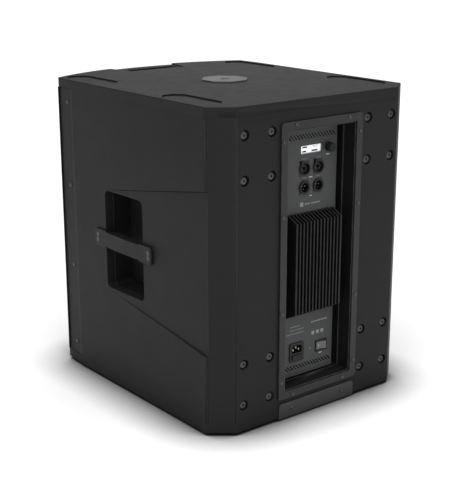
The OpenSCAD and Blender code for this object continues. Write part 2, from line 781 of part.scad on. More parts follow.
module combo_shape(x, z) {
    difference() {
        union() {
            lugs(x, z);
            rod_y(x, z, collar_r, y_panel + glue, y_panel + 3.2);
            rod_y(x, z, 11.7, y_panel - 26, y_panel + 2);
        }
        rod_y(x, z, 10.2, y_panel - 0.5, y_panel + 5);
        difference() {
            rod_y(x, z, 9.4, y_panel - 18, y_panel + 5);
            rod_y(x, z, 7.4, y_panel - 19, y_panel - 0.8);
        }
        rod_y(x, z, 3.25, y_panel - 24, y_panel + 5);
        for (a = [150, 30, 270]) rod_y(x + 5.2 * cos(a), z + 5.2 * sin(a), 1.3, y_panel - 14, y_panel + 5);
        for (s = [-1, 1]) rod_y(x - s * 9.5, z + s * 12, 1.35, y_panel - 9, y_panel - 0.5);
        translate([x + 8 - 3, y_panel - 12, z + 12 - 2.5]) cube([6, 20, 5.4]);
    }
}

module combo_socket_a() {
    color([0.05, 0.05, 0.05]) combo_shape(socket_pitch / 2, z_combo);
}

module combo_socket_b() {
    color([0.05, 0.05, 0.05]) combo_shape(-socket_pitch / 2, z_combo);
}

module latch_shape(x, z) {
    translate([x + 8 - 2.6, y_panel - 6, z + 12 - 2.1]) cube([5.2, 10.6, 4.6]);
}

module combo_latch_a() {
    color([0.6, 0.6, 0.6]) latch_shape(socket_pitch / 2, z_combo);
}

module combo_latch_b() {
    color([0.6, 0.6, 0.6]) latch_shape(-socket_pitch / 2, z_combo);
}

module output_shape(x, z) {
    difference() {
        union() {
            lugs(x, z);
            rod_y(x, z, collar_r, y_panel + glue, y_panel + 3);
            rod_y(x, z, 11.7, y_panel - 22, y_panel + 2);
        }
        rod_y(x, z, 8.9, y_panel - 14, y_panel + 5);
        translate([x - 1.6, y_panel - 14, z + 7]) cube([3.2, 19, 3]);
        for (a = [150, 30, 270])
            rod_y(x + 3.8 * cos(a), z + 3.8 * sin(a), 1.2, y_panel - 20, y_panel - 12);
        for (s = [-1, 1]) rod_y(x - s * 9.5, z + s * 12, 1.35, y_panel - 9, y_panel - 0.5);
    }
}

module xlr_output_a() {
    color([0.05, 0.05, 0.05]) output_shape(socket_pitch / 2, z_output);
}

module xlr_output_b() {
    color([0.05, 0.05, 0.05]) output_shape(-socket_pitch / 2, z_output);
}

module xlr_pins() {
    color([0.8, 0.78, 0.7]) for (sx = [-1, 1], a = [150, 30, 270])
        translate([sx * socket_pitch / 2 + 3.8 * cos(a), 0, z_output + 3.8 * sin(a)]) {
            rod_y(0, 0, 1.15, y_panel - 19.8, y_panel - 2.2);
            translate([0, y_panel - 2.2, 0]) rotate([-90, 0, 0]) cylinder(r1 = 1.15, r2 = 0.5, h = 1);
        }
}

module socket_screws() {
    color([0.15, 0.15, 0.15]) for (p = sockets(), s = [-1, 1])
        pan_screw(p[0] - s * 9.5, p[1] + s * 12, y_panel, 1.15, 6);
}

// ---- mains inlet, fuse and switch ----

// outline of the three-pin inlet's cavity
module inlet_hole() {
    polygon([[-12.2, -7.5], [12.2, -7.5], [12.2, 3.6], [8.4, 7.5], [-8.4, 7.5], [-12.2, 3.6]]);
}

module mains_inlet() {
    color([0.04, 0.04, 0.04]) translate([inlet_x, 0, z_inlet]) difference() {
        union() {
            upright(y_panel + glue, y_panel + 2.4) round_rect(36, 38, 4);
            upright(y_panel - 24, y_panel + 1) square([29.8, 31.8], center = true);
        }
        translate([0, 0, 6]) upright(y_panel - 14, y_panel + 5) inlet_hole();
        translate([0, 0, -10.2]) upright(y_panel - 22, y_panel + 5)
            square([22.8, 8.4], center = true);
        for (p = [[-7, 4.3], [0, 8.3], [7, 4.3]])
            translate([p[0], 0, p[1]]) upright(y_panel - 22, y_panel - 12)
                square([2.1, 4.1], center = true);
    }
}

module inlet_pins() {
    color([0.75, 0.73, 0.65]) for (p = [[-7, 4.3], [0, 8.3], [7, 4.3]])
        translate([inlet_x + p[0], 0, z_inlet + p[1]]) upright(y_panel - 21.8, y_panel - 1)
            square([2, 4], center = true);
}

module fuse_drawer() {
    color([0.06, 0.06, 0.06]) translate([inlet_x, 0, z_inlet - 10.2]) difference() {
        union() {
            upright(y_panel - 20, y_panel + 2.5) square([22, 7.6], center = true);
            upright(y_panel + 2.8, y_panel + 4.2) round_rect(24, 9.4, 1);
            upright(y_panel + 2, y_panel + 3) square([22, 7.6], center = true);
        }
        translate([0, y_panel - 9, 0.6]) rotate([0, 90, 0]) cylinder(r = 2.75, h = 20.4, center = true);
        translate([-10.2, y_panel - 11.75, 0.6]) cube([20.4, 5.5, 6]);
    }
}

module fuse() {
    color([0.75, 0.75, 0.72]) translate([inlet_x, y_panel - 9, z_inlet - 9.6])
        rotate([0, 90, 0]) cylinder(r = 2.6, h = 20, center = true);
}

module rocker_frame() {
    color([0.04, 0.04, 0.04]) translate([rocker_x, 0, z_inlet - 1]) difference() {
        union() {
            upright(y_panel + glue, y_panel + 2) round_rect(30.5, 23, 2);
            upright(y_panel - 20, y_panel + 1) square([26.6, 18.6], center = true);
        }
        upright(y_panel - 12, y_panel + 5) square([24.6, 15.6], center = true);
        translate([0, y_panel - 3, 0]) cylinder(r = 1.55, h = 18, center = true);
    }
}

module power_rocker() {
    color([0.16, 0.16, 0.16]) translate([rocker_x, y_panel - 3, z_inlet - 1]) rotate([0, 0, -rocker_tilt]) {
        linear_extrude(15, center = true) difference() {
            union() {
                polygon([[-11, 3.2], [0, 2], [11, 3.2], [11, 6.4], [0, 4.4], [-11, 6.4]]);
                circle(r = 4.4);
            }
            circle(r = 1.1);
        }
        cylinder(r = 1.5, h = 17.4, center = true);
    }
}

module status_led() {
    color([0.72, 0.75, 0.72]) {
        translate([led_x, y_panel - 6, z_inlet - 1]) rotate([-90, 0, 0])
            rotate_extrude() polygon([[0, 0], [1.5, 0], [1.5, 6.6], [1.2, 7.4], [0.5, 7.9], [0, 8]]);
    }
}

// ---- amplifier electronics inside the cabinet ----

module amp_board() {
    color([0.1, 0.3, 0.15]) difference() {
        translate([-54, board_y, sink_bot - 78])
            cube([108, 1.6, sink_top - sink_bot + 156]);
        for (sx = [-1, 1], z = [sink_bot + 12, sink_top - 12]) rod_y(sx * 48, z, 2, board_y - 1, board_y + 4);
    }
}

module board_parts() {
    color([0.15, 0.15, 0.17]) {
        for (sx = [-1, 1], z = [sink_bot + 12, sink_top - 12]) {
            rod_y(sx * 48, z, 4, board_y + 1.65, y_panel - sink_base - 0.05);
            rod_y(sx * 48, z, 1.95, board_y - 1, board_y + 2);
            rod_y(sx * 48, z, 3.4, board_y - 2.4, board_y - 0.05);
        }
        for (i = [0:1], j = [0:2]) rod_y(-28 + 36 * i, sink_bot + 26 + 38 * j, 15, board_y - 46, board_y - 0.05);
        for (j = [0:1]) rod_y(34, sink_top - 60 - 38 * j + 76, 13, board_y - 30, board_y - 0.05);
        translate([-44, board_y - 34, sink_bot - 60]) cube([62, 33.95, 54]);
        translate([30, board_y - 22, sink_bot - 56]) cube([18, 21.95, 40]);
    }
}

// ---- loudspeaker ----

module driver_basket() {
    color([0.12, 0.12, 0.13]) difference() {
        turned() polygon([[164 * k, -8], [194 * k, -8], [194 * k, -glue], [176 * k, -glue],
            [173 * k, 40 * k], [108 * k, 92 * k], [104 * k, 100 * k - glue], [56 * k, 100 * k - glue],
            [56 * k, 96 * k], [98 * k, 96 * k], [101 * k, 88 * k], [167 * k, 36 * k],
            [169.5 * k, -4], [164 * k, -4]]);
        for (a = [0:45:315]) translate([0, y_baffle, zd]) rotate([-90, 0, 0]) rotate(a)
            translate([110 * k, -24 * k, 44 * k]) cube([50 * k, 48 * k, 34 * k]);
        for (a = [22.5:45:360])
            rod_y(186 * k * cos(a), zd + 186 * k * sin(a), 2.8, y_baffle - 10, y_baffle + 1);
    }
}

module motor_plates() {
    color([0.45, 0.46, 0.47]) turned() {
        polygon([[53.5 * k, 100 * k], [92 * k, 100 * k], [92 * k, 110 * k - glue], [53.5 * k, 110 * k - glue]]);
        polygon([[14 * k, 97 * k], [46.5 * k, 97 * k], [46.5 * k, 132 * k + glue], [96 * k, 132 * k + glue],
            [96 * k, 142 * k], [14 * k, 142 * k]]);
    }
}

module magnet() {
    color([0.1, 0.1, 0.11]) turned()
        polygon([[60 * k, 110 * k], [100 * k, 110 * k], [100 * k, 132 * k], [60 * k, 132 * k]]);
}

module voice_coil() {
    color([0.72, 0.45, 0.2]) turned() {
        polygon([[49.2 * k, 50 * k], [50.2 * k, 50 * k], [50.2 * k, 118 * k], [49.2 * k, 118 * k]]);
        polygon([[50.1 * k, 98 * k], [51.6 * k, 98 * k], [51.6 * k, 118 * k], [50.1 * k, 118 * k]]);
    }
}

module spider() {
    n = 4;
    r0 = 50.5 * k; r1 = 97.5 * k; w = (r1 - r0) / (2 * n);
    up = [for (i = [0:2 * n]) [r0 + i * w, 85 * k + (i % 2) * 5]];
    dn = [for (i = [2 * n:-1:0]) [r0 + i * w, 86.2 * k + (i % 2) * 5]];
    color([0.75, 0.55, 0.3]) turned() polygon(concat(up, dn));
}

module cone() {
    color([0.05, 0.05, 0.05]) turned()
        polygon([[50.2 * k + coil_fit, 56 * k], [50.2 * k + coil_fit, 59 * k], [148 * k, -6.6], [148 * k, -9]]);
}

module surround() {
    ro = cone_travel + 1.5;
    rc = 148 * k + ro + 0.1;
    color([0.04, 0.04, 0.04]) turned() {
        difference() {
            translate([rc, -8.2]) circle(r = ro);
            translate([rc, -8.2]) circle(r = ro - 1.4);
            translate([rc - 20, -8.2]) square([40, 20]);
        }
        translate([rc + ro - 1.4, -10]) square([11 * k, 1.8]);
        translate([148 * k + 0.1, -10]) square([1.4, 1.8]);
    }
}

module dust_cap() {
    rb = 60 * k; rs = 84 * k;
    sag = sqrt(rs * rs - rb * rb);
    hb = 56 * k - 9.6 / 97.6 * (9 + 56 * k) - 0.15;
    color([0.05, 0.05, 0.05]) turned() intersection() {
        difference() {
            translate([0, hb + sag]) circle(r = rs);
            translate([0, hb + sag]) circle(r = rs - 1.2);
        }
        translate([0, hb - rs]) square([rb, rs]);
    }
}

module driver_screws() {
    color([0.12, 0.12, 0.12]) for (a = [22.5:45:360]) {
        x = 186 * k * cos(a);
        z = zd + 186 * k * sin(a);
        difference() {
            rod_y(x, z, 4.8, y_baffle - 13, y_baffle - 8 - glue);
            rod_y(x, z, 2.4, y_baffle - 14, y_baffle - 10.5);
        }
        rod_y(x, z, 2.5, y_baffle - 8 - glue, y_baffle + ply + 4);
    }
}

module speaker_wire() {
    a = [20, board_y - 3, sink_top + 30];
    b = [20, board_y - 50, sink_top + 30];
    c = [60, magnet_back + 12, zd + 100 * k];
    d = [60 * k, y_baffle + 104 * k, zd + 100 * k];
    color([0.5, 0.08, 0.06]) for (s = [0, 6]) {
        o = [s, 0, 0];
        wire(a + o, b + o, 1.8);
        wire(b + o, c + o, 1.8);
        wire(c + o, d + o, 1.8);
        translate(d + o) sphere(r = 2.02, $fn = 24);
    }
}

// ---- output ----

top_panel();
bottom_panel();
side_panel_left();
side_panel_right();
corner_panel_left();
corner_panel_right();
rear_panel();
front_baffle();
port_shelf();
window_brace();
grille();
grille_foam();
grille_screws();
pole_flange();
wood_screws();
handle_cup_left();
handle_cup_right();
handle_bar_left();
handle_bar_right();
feet();
castor_screws();
castor_nuts();
kick_plate();
amp_frame();
frame_screws();
amp_tub();
control_panel();
heat_sink();
display_bezel();
display_screen();
encoder_body();
encoder_shaft();
encoder_knob();
combo_socket_a();
combo_socket_b();
combo_latch_a();
combo_latch_b();
xlr_output_a();
xlr_output_b();
xlr_pins();
socket_screws();
mains_inlet();
inlet_pins();
fuse_drawer();
fuse();
rocker_frame();
power_rocker();
status_led();
amp_board();
board_parts();
driver_basket();
motor_plates();
magnet();
voice_coil();
spider();
cone();
surround();
dust_cap();
driver_screws();
speaker_wire();
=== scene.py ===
import bpy
import bmesh
import json
import math
from mathutils import Matrix, Vector


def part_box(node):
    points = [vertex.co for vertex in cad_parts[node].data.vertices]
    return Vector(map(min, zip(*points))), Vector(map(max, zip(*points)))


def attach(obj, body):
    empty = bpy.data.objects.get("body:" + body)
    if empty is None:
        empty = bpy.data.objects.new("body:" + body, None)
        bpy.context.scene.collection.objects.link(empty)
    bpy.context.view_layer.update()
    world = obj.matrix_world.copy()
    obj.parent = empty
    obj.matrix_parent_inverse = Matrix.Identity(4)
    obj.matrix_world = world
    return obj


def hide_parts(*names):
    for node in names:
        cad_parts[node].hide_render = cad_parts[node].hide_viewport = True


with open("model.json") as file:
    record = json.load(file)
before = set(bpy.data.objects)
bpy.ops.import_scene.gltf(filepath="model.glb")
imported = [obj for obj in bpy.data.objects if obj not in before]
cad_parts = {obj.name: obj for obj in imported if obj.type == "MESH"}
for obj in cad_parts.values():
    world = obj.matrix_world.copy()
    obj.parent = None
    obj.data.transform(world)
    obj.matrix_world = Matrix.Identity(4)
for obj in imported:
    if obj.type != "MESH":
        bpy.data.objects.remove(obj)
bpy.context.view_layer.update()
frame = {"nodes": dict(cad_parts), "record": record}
NODES = frame["nodes"]
RECORD = frame["record"]
SLOT = {p["node"]: p["material_slot"] for p in RECORD["subparts"]}
BODY = {n: b for b, ns in RECORD["behaviour"]["bodies"].items() for n in ns}
MM = 0.001

# ---------------------------------------------------------------- camera
CAM_AT = Vector((1.3677, 1.7298, 0.9036))
AZ, EL = math.radians(141.23), math.radians(16.38)


def set_camera():
    data = bpy.data.cameras.new("camera")
    data.lens, data.sensor_width, data.sensor_fit = 79.33, 36.0, "AUTO"
    data.clip_start, data.clip_end = 0.05, 60.0
    cam = bpy.data.objects.new("camera", data)
    back = Vector((math.sin(AZ) * math.cos(EL), -math.cos(AZ) * math.cos(EL), math.sin(EL)))
    cam.rotation_euler = back.to_track_quat("Z", "Y").to_euler()
    cam.location = CAM_AT
    bpy.context.scene.collection.objects.link(cam)
    bpy.context.scene.camera = cam


set_camera()

# ---------------------------------------------------------------- materials
MATS = {}


def ramp_value(nt, source, lo, hi):
    m = nt.nodes.new("ShaderNodeMapRange")
    m.inputs["To Min"].default_value, m.inputs["To Max"].default_value = lo, hi
    nt.links.new(source, m.inputs["Value"])
    return m.outputs["Result"]


def noise(nt, coords, scale, detail=3.0, stretch=(1, 1, 1)):
    mp = nt.nodes.new("ShaderNodeMapping")
    mp.inputs["Scale"].default_value = stretch
    nt.links.new(coords, mp.inputs["Vector"])
    n = nt.nodes.new("ShaderNodeTexNoise")
    n.inputs["Scale"].default_value, n.inputs["Detail"].default_value = scale, detail
    nt.links.new(mp.outputs["Vector"], n.inputs["Vector"])
    return n.outputs["Fac"]


def mix_colour(nt, fac, a, b):
    m = nt.nodes.new("ShaderNodeMix")
    m.data_type = "RGBA"
    nt.links.new(fac, m.inputs["Factor"])
    for sock, v in ((m.inputs["A"], a), (m.inputs["B"], b)):
        if isinstance(v, tuple):
            sock.default_value = (*v, 1.0)
        else:
            nt.links.new(v, sock)
    return m.outputs["Result"]


def material(name, colour, rough, metal=0.0, vary=0.12, cloud=7.0, grain=900.0, bump=0.0001,
             stretch=(1, 1, 1), rough_vary=0.06, spec=0.5, coat=0.0, edge_highlight=None, edge_highlight_mm=1.2,
             emit=None, emit_power=0.0, weave=0.0, rings=None, glass=0.0, sheen=0.0, pebble=0.0,
             no_edge_highlight_at=()):
    """A procedural surface: cloudy colour, fine grain in roughness and height, and a painted highlight along rounded
    edges, broken into patches.
    """
    mat = bpy.data.materials.new(name)
    mat.use_nodes = True
    nt = mat.node_tree
    bsdf = nt.nodes["Principled BSDF"]
    co = nt.nodes.new("ShaderNodeTexCoord").outputs["Object"]
    big = noise(nt, co, cloud, 4.0)
    fine = noise(nt, co, grain, 3.0, stretch)
    dark = tuple(c * (1 - vary) for c in colour)
    light = tuple(min(1.0, c * (1 + vary)) for c in colour)
    base = mix_colour(nt, big, dark, light)
    fleck = ramp_value(nt, fine, -0.3, 0.6)
    base = mix_colour(nt, fleck, base, tuple(min(1.0, c * 1.25 + 0.004) for c in colour))
    if rings:
        wave = nt.nodes.new("ShaderNodeTexWave")
        wave.wave_type, wave.bands_direction = "BANDS", rings[0]
        wave.inputs["Scale"].default_value = rings[1]
        wave.inputs["Distortion"].default_value = rings[3]
        wave.inputs["Detail"].default_value = 2.0
        nt.links.new(co, wave.inputs["Vector"])
        base = mix_colour(nt, wave.outputs["Fac"], base, rings[2])
    # painted highlight: a lighter colour is mixed in where the surface rounds over an edge, broken into patches by
    # noise
    if edge_highlight:
        bev = nt.nodes.new("ShaderNodeBevel")
        bev.samples = 4
        bev.inputs["Radius"].default_value = edge_highlight_mm * MM
        geo = nt.nodes.new("ShaderNodeNewGeometry")
        dot = nt.nodes.new("ShaderNodeVectorMath")
        dot.operation = "DOT_PRODUCT"
        nt.links.new(bev.outputs["Normal"], dot.inputs[0])
        nt.links.new(geo.outputs["Normal"], dot.inputs[1])
        edge = nt.nodes.new("ShaderNodeMapRange")
        edge.inputs["From Min"].default_value, edge.inputs["From Max"].default_value = 0.999, 0.86
        nt.links.new(dot.outputs["Value"], edge.inputs["Value"])
        patch = ramp_value(nt, noise(nt, co, 55.0, 5.0), -0.5, 1.3)
        mul = nt.nodes.new("ShaderNodeMath")
        mul.operation = "MULTIPLY"
        mul.use_clamp = True
        nt.links.new(edge.outputs["Result"], mul.inputs[0])
        nt.links.new(patch, mul.inputs[1])
        highlit_edges = mul.outputs["Value"]
        height_of = nt.nodes.new("ShaderNodeSeparateXYZ")
        nt.links.new(co, height_of.inputs[0])
        for level in no_edge_highlight_at:
            # the seams are filled and painted over, so the painted edge highlight is kept off them
            near = nt.nodes.new("ShaderNodeMath")
            near.operation = "COMPARE"
            near.inputs[1].default_value, near.inputs[2].default_value = level, 0.0035
            nt.links.new(height_of.outputs["Z"], near.inputs[0])
            keep = nt.nodes.new("ShaderNodeMath")
            keep.operation, keep.use_clamp = "SUBTRACT", True
            nt.links.new(highlit_edges, keep.inputs[0])
            nt.links.new(near.outputs["Value"], keep.inputs[1])
            highlit_edges = keep.outputs["Value"]
        base = mix_colour(nt, highlit_edges, base, edge_highlight)
    nt.links.new(base, bsdf.inputs["Base Color"])
    r = ramp_value(nt, noise(nt, co, cloud * 5, 4.0), rough - rough_vary, rough + rough_vary)
    nt.links.new(r, bsdf.inputs["Roughness"])
    bsdf.inputs["Metallic"].default_value = metal
    bsdf.inputs["Specular IOR Level"].default_value = spec
    bsdf.inputs["Coat Weight"].default_value = coat
    if glass:
        bsdf.inputs["Transmission Weight"].default_value = glass
    if sheen:
        bsdf.inputs["Sheen Weight"].default_value = sheen
    if emit:
        bsdf.inputs["Emission Color"].default_value = (*emit, 1.0)
        bsdf.inputs["Emission Strength"].default_value = emit_power
    height = fine
    if weave:
        w = [nt.nodes.new("ShaderNodeTexWave") for _ in range(2)]
        for k, n in enumerate(w):
            n.bands_direction = "XZ"[k]
            n.inputs["Scale"].default_value = weave
            nt.links.new(co, n.inputs["Vector"])
        add = nt.nodes.new("ShaderNodeMath")
        nt.links.new(w[0].outputs["Fac"], add.inputs[0])
        nt.links.new(w[1].outputs["Fac"], add.inputs[1])
        height = add.outputs["Value"]
    if pebble:
        vor = nt.nodes.new("ShaderNodeTexVoronoi")
        vor.feature = "SMOOTH_F1"
        vor.inputs["Scale"].default_value = pebble
        nt.links.new(co, vor.inputs["Vector"])
        add = nt.nodes.new("ShaderNodeMath")
        nt.links.new(vor.outputs["Distance"], add.inputs[0])
        nt.links.new(fine, add.inputs[1])
        height = add.outputs["Value"]
    if bump:
        b = nt.nodes.new("ShaderNodeBump")
        b.inputs["Distance"].default_value = bump
        b.inputs["Strength"].default_value = 0.6
        nt.links.new(height, b.inputs["Height"])
        nt.links.new(b.outputs["Normal"], bsdf.inputs["Normal"])
    MATS[name] = mat
    return mat


# the edge colour given to each material below is a painted highlight along its rounded edges; the cabinet's comes
# first
CABINET_EDGE_HIGHLIGHT = (0.036, 0.036, 0.037)
SEAMS = (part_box("top_panel")[0].z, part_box("bottom_panel")[1].z)
material("cabinet_paint", (0.0104, 0.0104, 0.0107), 0.58, grain=750, bump=0.00012, pebble=420,
         spec=0.17, edge_highlight=CABINET_EDGE_HIGHLIGHT, edge_highlight_mm=1.6, no_edge_highlight_at=SEAMS)
material("raw_wood", (0.50, 0.36, 0.21), 0.62, vary=0.18, cloud=9, grain=160, bump=0.0002,
         stretch=(1, 1, 14), rings=("Z", 16.0, (0.62, 0.47, 0.29), 5.0))
material("grille_steel", (0.008, 0.008, 0.0085), 0.6, grain=1400, bump=0.00005, spec=0.2)
material("foam", (0.012, 0.012, 0.012), 0.95, grain=420, bump=0.0008, pebble=300, spec=0.1)
material("black_screw", (0.060, 0.060, 0.063), 0.38, metal=0.6, grain=1500, bump=0.00003, edge_highlight=(0.2, 0.2, 0.2))
material("flange_alloy", (0.11, 0.112, 0.115), 0.5, metal=0.5, grain=900, bump=0.00006, edge_highlight=(0.3, 0.3, 0.3),
         stretch=(1, 6, 1))
material("cup_plastic", (0.006, 0.006, 0.0063), 0.55, grain=900, bump=0.00015, pebble=650, spec=0.35)
material("bar_plastic", (0.005, 0.005, 0.0052), 0.55, grain=1200, bump=0.00008, pebble=900, spec=0.24,
         edge_highlight=(0.045, 0.045, 0.045), edge_highlight_mm=1.0)
material("foot_rubber", (0.018, 0.018, 0.018), 0.82, grain=600, bump=0.00015, spec=0.25)
material("zinc", (0.62, 0.61, 0.58), 0.35, metal=1.0, grain=700, bump=0.00005)
material("kick_steel", (0.022, 0.022, 0.023), 0.47, grain=1100, bump=0.00007, edge_highlight=(0.16, 0.16, 0.16))
material("frame_paint", (0.017, 0.017, 0.0176), 0.40, grain=1200, bump=0.00008, pebble=900,
         edge_highlight=(0.15, 0.15, 0.155), edge_highlight_mm=0.9, spec=0.26)
material("tub_paint", (0.0045, 0.0045, 0.0047), 0.42, grain=1100, bump=0.00006, edge_highlight=(0.24, 0.24, 0.24),
         edge_highlight_mm=1.0, spec=0.3)
material("panel_paint", (0.046, 0.047, 0.0485), 0.5, grain=1300, bump=0.00008, pebble=1000,
         edge_highlight=(0.2, 0.2, 0.2), edge_highlight_mm=0.6, spec=0.3)
material("sink_anodised", (0.004, 0.004, 0.0043), 0.45, spec=0.25, metal=0.0, grain=900, bump=0.00006,
         stretch=(1, 1, 0.05), edge_highlight=(0.17, 0.17, 0.175), edge_highlight_mm=0.6)
material("bezel_plastic", (0.008, 0.008, 0.008), 0.22, grain=1500, bump=0.00002, coat=0.4)
material("display", (0.80, 0.84, 0.86), 0.22, vary=0.03, grain=500, bump=0.00001, emit=(0.86, 0.90, 0.92),
         emit_power=0.5, coat=0.5)
material("nickel", (0.55, 0.54, 0.52), 0.30, metal=1.0, grain=1200, bump=0.00003)
material("knob_rubber", (0.006, 0.006, 0.006), 0.62, grain=1200, bump=0.00006, spec=0.28)
material("socket_plastic", (0.005, 0.005, 0.0052), 0.4, grain=1500, bump=0.00004, edge_highlight=(0.03, 0.03, 0.03),
         edge_highlight_mm=0.4, spec=0.25)
material("pin_metal", (0.42, 0.39, 0.30), 0.28, metal=1.0, grain=1200, bump=0.00003)
material("fuse_glass", (0.82, 0.85, 0.85), 0.06, vary=0.03, glass=0.9, bump=0.00001)
material("rocker_plastic", (0.085, 0.085, 0.085), 0.33, grain=1500, bump=0.00003, edge_highlight=(0.3, 0.3, 0.3), edge_highlight_mm=0.5)
material("led_green", (0.20, 0.23, 0.20), 0.3, vary=0.05, grain=800, bump=0.00002, coat=0.3)
material("board_green", (0.02, 0.12, 0.05), 0.38, grain=500, bump=0.0001, coat=0.3,
         rings=("X", 60.0, (0.03, 0.18, 0.08), 8.0))
material("component_black", (0.03, 0.03, 0.034), 0.34, grain=800, bump=0.00005)
material("basket_paint", (0.022, 0.022, 0.022), 0.44, grain=500, bump=0.00015, edge_highlight=(0.1, 0.1, 0.1))
material("motor_steel", (0.42, 0.42, 0.43), 0.34, metal=1.0, grain=700, bump=0.00006)
material("ferrite", (0.045, 0.045, 0.048), 0.66, grain=420, bump=0.0003)
material("coil_copper", (0.72, 0.36, 0.14), 0.30, metal=1.0, rings=("Y", 420.0, (0.45, 0.2, 0.07), 0.0))
material("spider_cloth", (0.48, 0.32, 0.14), 0.85, weave=260, bump=0.0003, sheen=0.2)
material("cone_paper", (0.024, 0.024, 0.024), 0.72, grain=260, bump=0.0004, cloud=20)
material("surround_cloth", (0.018, 0.018, 0.018), 0.74, weave=300, bump=0.0003, sheen=0.15)
material("wire_red", (0.36, 0.02, 0.015), 0.34, bump=0.00002)
material("label_ink", (0.36, 0.365, 0.37), 0.5, vary=0.06, bump=0.00002)
material("screen_ink", (0.02, 0.025, 0.03), 0.4, bump=0.00001)
material("ink_faint", (0.20, 0.205, 0.21), 0.5, vary=0.08, bump=0.00002)


def dress(obj, slot):
    obj.data.materials.clear()
    obj.data.materials.append(MATS[slot])


for name, obj in NODES.items():
    dress(obj, SLOT[name])

# ---------------------------------------------------------------- mesh helpers


def add_object(name, bm, slot, body, node=None, smooth=40.0):
    mesh = bpy.data.meshes.new(name)
    bm.normal_update()
    bm.to_mesh(mesh)
    bm.free()
    obj = bpy.data.objects.new(name, mesh)
    bpy.context.scene.collection.objects.link(obj)
    for p in mesh.polygons:
        p.use_smooth = True
    mesh.set_sharp_from_angle(angle=math.radians(smooth))
    mesh.materials.append(MATS[slot])
    weigh = obj.modifiers.new("even_normals", "WEIGHTED_NORMAL")
    weigh.mode, weigh.weight, weigh.keep_sharp = "FACE_AREA", 50, True
    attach(obj, body)
    if node:
        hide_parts(*([node] if isinstance(node, str) else node))
    return obj


def clean_copy(node):
    """The node's own faces, with its triangles joined back into flat faces."""
    bm = bmesh.new()
    bm.from_mesh(NODES[node].data)
    bmesh.ops.remove_doubles(bm, verts=bm.verts, dist=2e-6)
    bmesh.ops.dissolve_limit(bm, angle_limit=math.radians(0.3), verts=bm.verts, edges=bm.edges,
                             use_dissolve_boundaries=False, delimit=set())
    bm.normal_update()
    return bm


def round_edges(bm, pick, width, segments=2, least=28.0):
    low = math.radians(least)
    edges = []
    for e in bm.edges:
        if len(e.link_faces) == 2 and e.calc_face_angle(0.0) > low and pick(e):
            edges.append(e)
    if edges:
        bmesh.ops.bevel(bm, geom=edges, offset=width * MM, offset_type="OFFSET", segments=segments,
                        profile=0.5, affect="EDGES", clamp_overlap=True, miter_outer="ARC")
        bm.normal_update()


def both(e, test):
    return all(test(v.co) for v in e.verts)


def convex(e):
    return e.is_convex


def soften(node, width, segments=2, pick=None, smooth=50.0, name=None, least=28.0):
    bm = clean_copy(node)
    round_edges(bm, pick or convex, width, segments, least)
    return add_object(name or node + "_made", bm, SLOT[node], BODY[node], node, smooth)


# ---------------------------------------------------------------- cabinet
top_lo, top_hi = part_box("top_panel")
side_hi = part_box("side_panel_left")[1]
rear_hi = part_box("rear_panel")[1]
Z1 = top_hi.z
Z_SEAM_TOP = top_lo.z
Z_SEAM_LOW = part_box("bottom_panel")[1].z
HW = side_hi.x
YR = rear_hi.y
NEAR = 0.35 * MM
BOW = 60 * MM
CUT_X, CUT_Y = 44 * MM, 36 * MM
BOW_R = (HW * HW + BOW ** 2) / (2 * BOW)


def at_seam(co):
    return abs(co.z - Z_SEAM_TOP) < NEAR or abs(co.z - Z_SEAM_LOW) < NEAR


def outside_plan(co):
    """True on the outer skin of the cabinet, seen from above."""
    x, y = abs(co.x), co.y
    if x > HW - 6 * MM or y > YR - NEAR:
        return True
    cut = (x - (HW - CUT_X)) / CUT_X + (y - (YR - CUT_Y)) / CUT_Y
    if cut > 0.94 and x > HW - 0.05:
        return True
    return math.hypot(x, y - (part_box("top_panel")[0].y + BOW_R)) > BOW_R - 1 * MM


def cover(node, level):
    bm = clean_copy(node)
    rim = lambda e: both(e, outside_plan) and not both(e, at_seam) and e.is_convex
    round_edges(bm, rim, 3.2, 4)
    flat = lambda e: both(e, lambda c: abs(c.z - level) < NEAR) and not both(e, outside_plan) and e.is_convex
    round_edges(bm, flat, 0.7, 2)
    add_object(node + "_made", bm, SLOT[node], "cabinet", node, 50.0)


cover("top_panel", Z1)
cover("bottom_panel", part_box("bottom_panel")[0].z)


def wall(node, width=2.2):
    bm = clean_copy(node)
    def upright_edge(e):
        d = e.verts[0].co - e.verts[1].co
        return abs(d.x) < NEAR and abs(d.y) < NEAR and d.length > 0.03

    def corner(e):
        if not (e.is_convex and upright_edge(e)):
            return False
        c = e.verts[0].co
        x = abs(c.x)
        side = abs(c.y - (YR - CUT_Y)) < 1.5 * MM and x > HW - 6 * MM
        rear = abs(x - (HW - CUT_X)) < 1.5 * MM and c.y > YR - NEAR
        return side or rear

    round_edges(bm, corner, width, 3)
    if "side" in node:
        bar_lo, bar_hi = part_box("handle_bar_left")
        mid_y, mid_z = (bar_lo.y + bar_hi.y) / 2, (bar_lo.z + bar_hi.z) / 2
        on_rim = lambda c: (abs(c.x) > HW - 6 * MM and abs(c.y - mid_y) < 0.0637 and abs(c.z - mid_z) < 0.0997)
        round_edges(bm, lambda e: e.is_convex and both(e, on_rim), 2.2, 3, 40.0)

    def skin(e):
        if both(e, at_seam) or not e.is_convex:
            return False
        inner = lambda c: abs(c.x) < HW - 17 * MM if "side" in node else c.y < YR - 17 * MM
        by_seam = lambda c: abs(c.z - Z_SEAM_TOP) < 3e-3 or abs(c.z - Z_SEAM_LOW) < 3e-3
        if both(e, inner) or both(e, by_seam):
            return False
        return both(e, outside_plan) and not upright_edge(e)

    round_edges(bm, skin, 0.8, 2, 20.0)
    add_object(node + "_made", bm, SLOT[node], "cabinet", node, 50.0)


for n in ("side_panel_left", "side_panel_right", "corner_panel_left", "corner_panel_right", "rear_panel"):
    wall(n)

